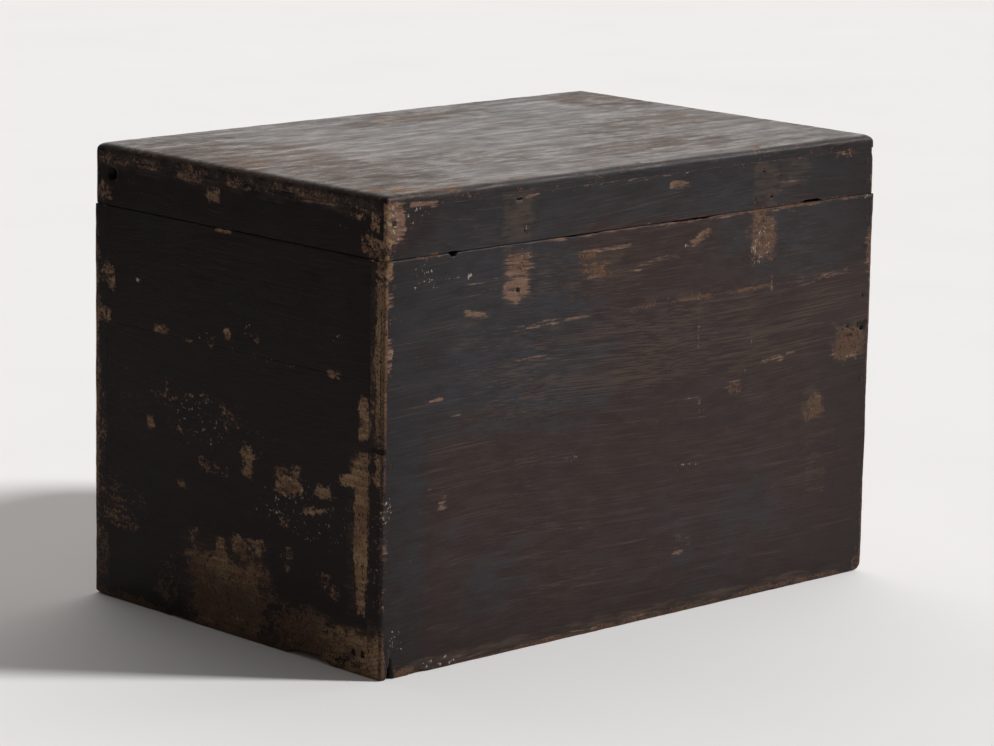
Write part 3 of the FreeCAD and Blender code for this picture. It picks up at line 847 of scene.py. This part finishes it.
def wear_field(points):
    """How worn each point is, as one amount for each kind of wear."""
    field = np.zeros((len(points), len(KINDS)))
    sway = unevenness(points, PATCH_GRAIN, SWAY_SEED)
    rise = unevenness(points, PATCH_GRAIN, RISE_SEED)
    for face, kinds in WEAR.items():
        on, first, second = face_places(points, face)
        for kind, patches in kinds.items():
            channel = KINDS.index(kind)
            for first_low, first_high, second_low, second_high, amount, *slope in patches:
                lean = slope[0] / 100 if slope else 0.0
                centre = (first_low + first_high) / 2
                half_first, half_second = (first_high - first_low) / 2, (second_high - second_low) / 2
                across = second - (second_low + second_high) / 2 - lean * (first - centre)
                across = np.abs(across + min(SWAY_SHARE * half_second, OUTLINE_SWAY) * rise) / half_second
                along = first - centre + min(SWAY_SHARE * half_first, OUTLINE_SWAY) * sway
                share = patch_share(kind, face, np.abs(along) / half_first, across)
                worn = np.maximum(field[:, channel], share * amount / 100)
                field[:, channel] = np.where(on, worn, field[:, channel])
    return field


def press_holes(bm, low, high):
    """Sinks old holes, with rounded outlines, into a board that lies where they are."""
    for face_name, first, second, width, tallness, depth in HOLES:
        through, across = (1, 0) if face_name == "front" else (0, 1)
        centre = Vector((0, 0, second * MM))
        centre[across] = first * MM + (MIDDLE_Y if across == 1 else 0.0)
        on_face = low[through] < CARCASS_LOW[through] + FACE_REACH
        if not (on_face and low[across] < centre[across] < high[across] and low.z < centre.z < high.z):
            continue
        span = max(width, tallness) * MM + HOLE_MARGIN
        outward = [face for face in bm.faces if face.material_index == 0 and face.normal[through] < -0.9]
        offsets = {face: face.calc_center_median() - centre for face in outward}
        near = [face for face, offset in offsets.items()
                if abs(offset[across]) < span and abs(offset.z) < span]
        hits = [face for face in near if (offsets[face][across] / width) ** 2
                + (offsets[face].z / tallness) ** 2 <= (0.5 * MM) ** 2]
        hits = hits or [min(near, key=lambda face: abs(offsets[face][across]) + abs(offsets[face].z))]
        for vert in {vert for face in hits for vert in face.verts}:
            if all(face in hits for face in vert.link_faces):
                continue
            offset = vert.co - centre
            reach = 2 * math.hypot(offset[across] / (width * MM), offset.z / (tallness * MM))
            vert.co[across] = centre[across] + offset[across] / reach
            vert.co.z = centre.z + offset.z / reach
        bmesh.ops.inset_region(bm, faces=hits, thickness=HOLE_TAPER, depth=-depth * MM, use_even_offset=True)


def place_mesh(bm, name, materials):
    """Turns a shaped mesh into an object in the scene."""
    mesh = bpy.data.meshes.new(name)
    bm.to_mesh(mesh)
    bm.free()
    for material in materials:
        mesh.materials.append(material)
    piece = bpy.data.objects.new(name, mesh)
    bpy.context.scene.collection.objects.link(piece)
    return piece


def finish_piece(bm, name, node, body, materials):
    """Turns a shaped mesh into an object that stands for a CAD node."""
    piece = place_mesh(bm, name, materials)
    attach(piece, body)
    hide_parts(node)
    return piece


def pith_of(low, high, grain_axis, depth, seed):
    """A point on the pith of a board, behind its middle, and some way along the grain."""
    pith = (low + high) / 2
    through = min(range(3), key=lambda axis: high[axis] - low[axis])
    inward = -1 if pith[through] > 0 else 1
    pith[through] += inward * depth
    pith[grain_axis] += seed * PITH_STEP
    return pith


def shape_board(points, name, in_lid, sizes, seed):
    """Wears the outside of one board: rounded edges, warp, notches, broken corners and the split."""
    low, high = (LID_LOW, LID_HIGH) if in_lid else (CARCASS_LOW, CARCASS_HIGH)
    uneven = np.clip(1 + EDGE_VARIES * unevenness(points, EDGE_GRAIN, EDGE_SEED), EDGE_LEAST, EDGE_MOST)
    if in_lid:
        upright, lower, upper = sizes.lid_upright, sizes.lid_rim, sizes.lid_top
        uneven = 1 + (uneven - 1) * LID_SHARE
    else:
        upright, lower, upper = sizes.carcass_upright, sizes.carcass_foot, sizes.carcass_rim
    wear_outline(points, low, high, upright * uneven, lower * uneven, upper * uneven)
    warp_faces(points, low, high, sizes.warp, seed)
    for board, axis, start, end, edge, bite in NOTCHES:
        if board == name:
            notch_edge(points, axis, start, end, edge, bite, seed)
    for board, place, direction in BREAKS:
        if board == name:
            break_corner(points, place, direction, seed)
    if name == "front_lower_board":
        open_split(points, low)


def make_board(name, node, neighbour, body, sizes, colours, seed):
    """One worn board of the carcass or the lid."""
    low, high = core_box(node, neighbour)
    in_lid = body == "lid"
    spacing = sizes.fine_grid if name.startswith(FINE_BOARDS) else sizes.plain_grid
    bm = gridded_board(low, high, spacing, SPLIT_LINES if name == "front_lower_board" else ())
    outer_low, outer_high = (LID_LOW, LID_HIGH) if in_lid else (CARCASS_LOW, CARCASS_HIGH)
    paint_outer_faces(bm, outer_low, outer_high, CARCASS_HIGH.z)
    points = np.array([vert.co for vert in bm.verts])
    ease_edges(points, low, high, sizes.joint_ease)
    shape_board(points, name, in_lid, sizes, seed)
    place_points(bm, points)
    # Points that a break or the split has pushed together become one
    bmesh.ops.remove_doubles(bm, verts=bm.verts, dist=SAME_POINT)
    bmesh.ops.dissolve_degenerate(bm, edges=bm.edges, dist=SAME_POINT)
    bm.normal_update()
    press_holes(bm, low, high)
    field = wear_field(np.array([vert.co for vert in bm.verts]))
    turn, grain_axis = (ACROSS_TURN, 1) if name.startswith(END_BOARDS) else (0.0, 0)
    pith = pith_of(low, high, grain_axis, sizes.pith_depth, seed)
    materials = [painted_pine("painted_pine_" + name, turn, pith, colours),
                 bare_pine("bare_pine_" + name, turn, pith, colours)]
    board = finish_piece(bm, name, node, body, materials)
    for layer, kinds in LAYERS.items():
        columns = field[:, [KINDS.index(kind) for kind in kinds]]
        attribute = board.data.color_attributes.new(layer, "FLOAT_COLOR", "POINT")
        attribute.data.foreach_set("color", columns.astype(np.float32).ravel())


def make_boards(scene, boards, body, first_seed):
    """Every worn board of the carcass or the lid, each with its own seed."""
    for seed, (name, (node, neighbour)) in enumerate(boards.items(), start=first_seed):
        make_board(name, node, neighbour, body, scene.chest_sizes, scene.chest_colours, seed)


def nail_boxes(node):
    """The points of each separate nail in a CAD group."""
    bm = bmesh.new()
    bm.from_mesh(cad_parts[node].data)
    bmesh.ops.remove_doubles(bm, verts=bm.verts, dist=SAME_CAD_POINT)
    left = set(bm.verts)
    nails = []
    while left:
        reach = [left.pop()]
        nail = []
        while reach:
            vert = reach.pop()
            nail.append(np.array(vert.co))
            for edge in vert.link_edges:
                other = edge.other_vert(vert)
                if other in left:
                    left.remove(other)
                    reach.append(other)
        nails.append(np.array(nail))
    bm.free()
    return nails


def nail_pose(nail):
    """Where the middle of a nail's head lies, which way the head faces, and how long the nail is."""
    low, high = nail.min(axis=0), nail.max(axis=0)
    axis = int(np.argmax(high - low))
    across = (axis + 1) % 3
    middle = (low + high) / 2
    upper = nail[nail[:, axis] > middle[axis]]
    lower = nail[nail[:, axis] < middle[axis]]
    head_is_upper = np.ptp(upper[:, across]) > np.ptp(lower[:, across])
    facing = Vector((0, 0, 0))
    facing[axis] = 1 if head_is_upper else -1
    middle[axis] = high[axis] if head_is_upper else low[axis]
    return Vector(middle), facing, float(high[axis] - low[axis])


def set_nails(name, node, body, material, sizes, rose):
    """Models every nail of a CAD group: a square head driven flush, or a faceted one standing on a leaf."""
    bm = bmesh.new()
    for nail in nail_boxes(node):
        place, facing, reach = nail_pose(nail)
        # Each nail turns a little, by its own place
        sway = noise.noise_vector(place * NAIL_SPREAD)
        outward = facing.to_track_quat("Z", "Y").to_matrix().to_4x4()
        turn = outward @ Matrix.Rotation(sway.x * NAIL_TURN, 4, "Z")
        head = sizes.nail_head * (ROSE_WIDTH if rose else 1 + DRIVEN_VARIES * sway.y)
        thickness = ROSE_THICKNESS if rose else DRIVEN_THICKNESS
        top = place if rose else place + facing * sizes.nail_proud
        at_head = Matrix.Translation(top - facing * thickness / 2) @ turn
        if rose:
            bmesh.ops.create_cone(bm, cap_ends=True, segments=ROSE_SIDES, radius1=head / 2,
                                  radius2=head * ROSE_TIP, depth=thickness, matrix=at_head)
        else:
            block = at_head @ Matrix.Diagonal((head, head, thickness, 1))
            made = bmesh.ops.create_cube(bm, size=1.0, matrix=block)
            edges = list({edge for vert in made["verts"] for edge in vert.link_edges})
            bmesh.ops.bevel(bm, geom=edges, offset=DRIVEN_BEVEL, offset_type="OFFSET", segments=2,
                            profile=0.5, affect="EDGES", material=-1)
        shank = reach - thickness
        middle = place - facing * (thickness + shank / 2)
        bmesh.ops.create_cone(bm, cap_ends=True, segments=4, radius1=SHANK_TIP, radius2=SHANK_NECK,
                              depth=shank, matrix=Matrix.Translation(middle) @ turn)
    bmesh.ops.recalc_face_normals(bm, faces=bm.faces)
    finish_piece(bm, name, node, body, [material])


class CHEST_OT_carcass_boards(bpy.types.Operator):
    """Makes the eight worn boards of the front, back and ends"""
    bl_idname = "chest.carcass_boards"
    bl_label = "Carcass boards"

    def execute(self, context):
        make_boards(context.scene, WALL_BOARDS, "carcass", WALL_SEED)
        return {"FINISHED"}


class CHEST_OT_lid_boards(bpy.types.Operator):
    """Makes the four rails and two top boards of the lid"""
    bl_idname = "chest.lid_boards"
    bl_label = "Lid boards"

    def execute(self, context):
        make_boards(context.scene, LID_BOARDS, "lid", LID_SEED)
        return {"FINISHED"}


class CHEST_OT_bottom_boards(bpy.types.Operator):
    """Makes the bare boards of the bottom, with eased edges"""
    bl_idname = "chest.bottom_boards"
    bl_label = "Bottom boards"

    def execute(self, context):
        scene = context.scene
        sizes = scene.chest_sizes
        count = sum(name.startswith("bottom_board_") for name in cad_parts)
        for index in range(1, count + 1):
            node = "bottom_board_" + str(index)
            neighbour = "bottom_board_" + str(index + 1) if index < count else None
            low, high = core_box(node, neighbour)
            bm = gridded_board(low, high, BOTTOM_GRID)
            points = np.array([vert.co for vert in bm.verts])
            ease_edges(points, low, high, sizes.joint_ease)
            place_points(bm, points)
            pith = pith_of(low, high, 1, sizes.pith_depth, BOTTOM_SEED + index)
            material = bare_pine("bare_pine_" + node, ACROSS_TURN, pith, scene.chest_colours)
            finish_piece(bm, "bottom_plank_" + str(index), node, "carcass", [material])
        return {"FINISHED"}


class CHEST_OT_nails(bpy.types.Operator):
    """Makes the nails that hold the boards, painted over, and those that hold the hinges"""
    bl_idname = "chest.nails"
    bl_label = "Nails"

    def execute(self, context):
        sizes = context.scene.chest_sizes
        colours = context.scene.chest_colours
        painted = forged_iron("painted_iron", colours.paint_warm, colours.paint_deep, metallic=0.0,
                              gloss=0.14)
        bare = forged_iron("forged_nail_iron", colours.iron, colours.rust, metallic=0.8, gloss=0.5)
        for name, node, body in PAINTED_NAILS:
            set_nails(name, node, body, painted, sizes, False)
        for name, node, body in HINGE_NAILS:
            set_nails(name, node, body, bare, sizes, True)
        return {"FINISHED"}


class CHEST_OT_hinges(bpy.types.Operator):
    """Gives the hinge leaves and pins their old iron"""
    bl_idname = "chest.hinges"
    bl_label = "Hinges"

    def execute(self, context):
        colours = context.scene.chest_colours
        iron = forged_iron("forged_hinge_iron", colours.iron, colours.rust, metallic=0.8, gloss=0.5)
        for name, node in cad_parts.items():
            if name.endswith(("_leaf", "_pin")):
                node.data.materials.clear()
                node.data.materials.append(iron)
        return {"FINISHED"}


class CHEST_OT_stage(bpy.types.Operator):
    """Makes the pale floor, the studio light and the camera"""
    bl_idname = "chest.stage"
    bl_label = "Stage"

    def execute(self, context):
        scene = context.scene
        scene.view_settings.view_transform = "Standard"
        self.make_floor(scene)
        self.make_flag()
        self.make_world(scene)
        self.make_key(scene)
        self.make_camera(scene)
        return {"FINISHED"}

    def make_floor(self, scene):
        """A wide pale floor, clouded a little over about 400 mm."""
        bm = bmesh.new()
        bmesh.ops.create_grid(bm, x_segments=8, y_segments=8, size=FLOOR_REACH)
        material, tree = new_material("painted_concrete")
        place = add(tree, "ShaderNodeTexCoord", {}).outputs["Object"]
        clouds = add(tree, "ShaderNodeTexNoise", {"Vector": place, "Scale": per_mm(400), "Detail": 4.0})
        tone = add(tree, "ShaderNodeMapRange", {"Value": clouds, "To Min": 0.97, "To Max": 1.03})
        surface = add(tree, "ShaderNodeHueSaturation", {
            "Color": rgba(scene.chest_colours.floor), "Value": tone})
        shader = add(tree, "ShaderNodeBsdfPrincipled", {
            "Base Color": surface, "Roughness": 1.0, "Specular IOR Level": 0.0})
        add(tree, "ShaderNodeOutputMaterial", {"Surface": shader})
        floor = place_mesh(bm, "studio_floor", [material])

    def make_flag(self):
        """A black cloth on the left that only gloss sees: the left end mirrors it, not the bright floor."""
        bm = bmesh.new()
        bmesh.ops.create_grid(bm, x_segments=24, y_segments=16, size=0.5)
        bmesh.ops.scale(bm, vec=FLAG_SIZE, verts=bm.verts)
        for vert in bm.verts:
            vert.co.z += FOLD_DEPTH * math.sin(vert.co.x * FOLD_RATE)
        upright = Matrix.Rotation(FLAG_TURN, 4, "Z") @ Matrix.Rotation(math.radians(90), 4, "X")
        bmesh.ops.transform(bm, matrix=Matrix.Translation(FLAG_PLACE) @ upright, verts=bm.verts)
        material, tree = new_material("black_felt")
        place = add(tree, "ShaderNodeTexCoord", {}).outputs["Object"]
        nap = add(tree, "ShaderNodeTexNoise", {"Vector": place, "Scale": per_mm(6), "Detail": 4.0})
        tone = add(tree, "ShaderNodeMapRange", {"Value": nap, "To Min": 0.01, "To Max": 0.03})
        shader = add(tree, "ShaderNodeBsdfDiffuse", {"Color": tone, "Roughness": 1.0})
        add(tree, "ShaderNodeOutputMaterial", {"Surface": shader})
        flag = place_mesh(bm, "studio_flag", [material])
        flag.visible_camera = False
        flag.visible_diffuse = False
        flag.visible_shadow = False

    def make_world(self, scene):
        """A room that is bright behind and to the right, and dim to the left and overhead."""
        world = bpy.data.worlds.new("studio")
        scene.world = world
        world.use_nodes = True
        tree = world.node_tree
        tree.nodes.clear()
        direction = add(tree, "ShaderNodeTexCoord", {}).outputs["Generated"]
        side = add(tree, "ShaderNodeVectorMath", {0: direction, 1: BRIGHT_SIDE}, operation="DOT_PRODUCT")
        glow = add(tree, "ShaderNodeMapRange", {
            "Value": side, "From Min": 0.2, "From Max": 0.85, "To Min": 0.14, "To Max": 1.9},
            interpolation_type="SMOOTHSTEP")
        soft = add(tree, "ShaderNodeBackground", {"Color": (1.0, 0.96, 0.92, 1), "Strength": glow})
        seen = add(tree, "ShaderNodeBackground", {"Color": (0.86, 0.86, 0.86, 1), "Strength": 1.0})
        ray = add(tree, "ShaderNodeLightPath", {}).outputs["Is Camera Ray"]
        blend = add(tree, "ShaderNodeMixShader", {0: ray, 1: soft, 2: seen})
        add(tree, "ShaderNodeOutputWorld", {"Surface": blend})

    def make_key(self, scene):
        """A soft sun from the front right."""
        light = bpy.data.lights.new("key", "SUN")
        light.energy = 3.3
        light.angle = math.radians(8)
        light.color = (1.0, 0.99, 0.975)
        lamp = bpy.data.objects.new("key", light)
        lamp.rotation_euler = Vector(KEY_SIDE).to_track_quat("Z", "Y").to_euler()
        scene.collection.objects.link(lamp)

    def make_camera(self, scene):
        """A camera at the photograph's place and angle."""
        data = bpy.data.cameras.new("photo_camera")
        data.sensor_fit = "HORIZONTAL"
        data.sensor_width = 36.0
        data.lens = CAMERA_LENS
        data.clip_end = 100.0
        yaw, elevation, roll = (math.radians(angle) for angle in CAMERA_ANGLES)
        forward = Vector((math.sin(yaw) * math.cos(elevation), math.cos(yaw) * math.cos(elevation),
                          -math.sin(elevation)))
        level = Vector((math.cos(yaw), -math.sin(yaw), 0))
        upward = level.cross(forward)
        right = level * math.cos(roll) + upward * math.sin(roll)
        upward = right.cross(forward)
        turn = Matrix((right, upward, -forward)).transposed().to_4x4()
        x, y, z = CAMERA_PLACE
        camera = bpy.data.objects.new("photo_camera", data)
        camera.matrix_world = Matrix.Translation((x, y + MIDDLE_Y, z)) @ turn
        scene.collection.objects.link(camera)
        scene.camera = camera


class CHEST_PT_panel(bpy.types.Panel):
    """Lists the steps that dress the chest"""
    bl_idname = "CHEST_PT_panel"
    bl_label = "Painted pine chest"
    bl_space_type = "VIEW_3D"
    bl_region_type = "UI"
    bl_category = "Chest"

    def draw(self, context):
        for step in STEPS:
            self.layout.operator(step.bl_idname)


STEPS = (CHEST_OT_carcass_boards, CHEST_OT_lid_boards, CHEST_OT_bottom_boards, CHEST_OT_nails,
         CHEST_OT_hinges, CHEST_OT_stage)
CLASSES = (ChestSizes, ChestColours, *STEPS, CHEST_PT_panel)


def register():
    for item in CLASSES:
        bpy.utils.register_class(item)
    bpy.types.Scene.chest_sizes = bpy.props.PointerProperty(type=ChestSizes)
    bpy.types.Scene.chest_colours = bpy.props.PointerProperty(type=ChestColours)


def unregister():
    del bpy.types.Scene.chest_colours
    del bpy.types.Scene.chest_sizes
    for item in reversed(CLASSES):
        bpy.utils.unregister_class(item)


def main():
    register()
    bpy.ops.chest.carcass_boards()
    bpy.ops.chest.lid_boards()
    bpy.ops.chest.bottom_boards()
    bpy.ops.chest.nails()
    bpy.ops.chest.hinges()
    bpy.ops.chest.stage()


if __name__ == "__main__":
    main()
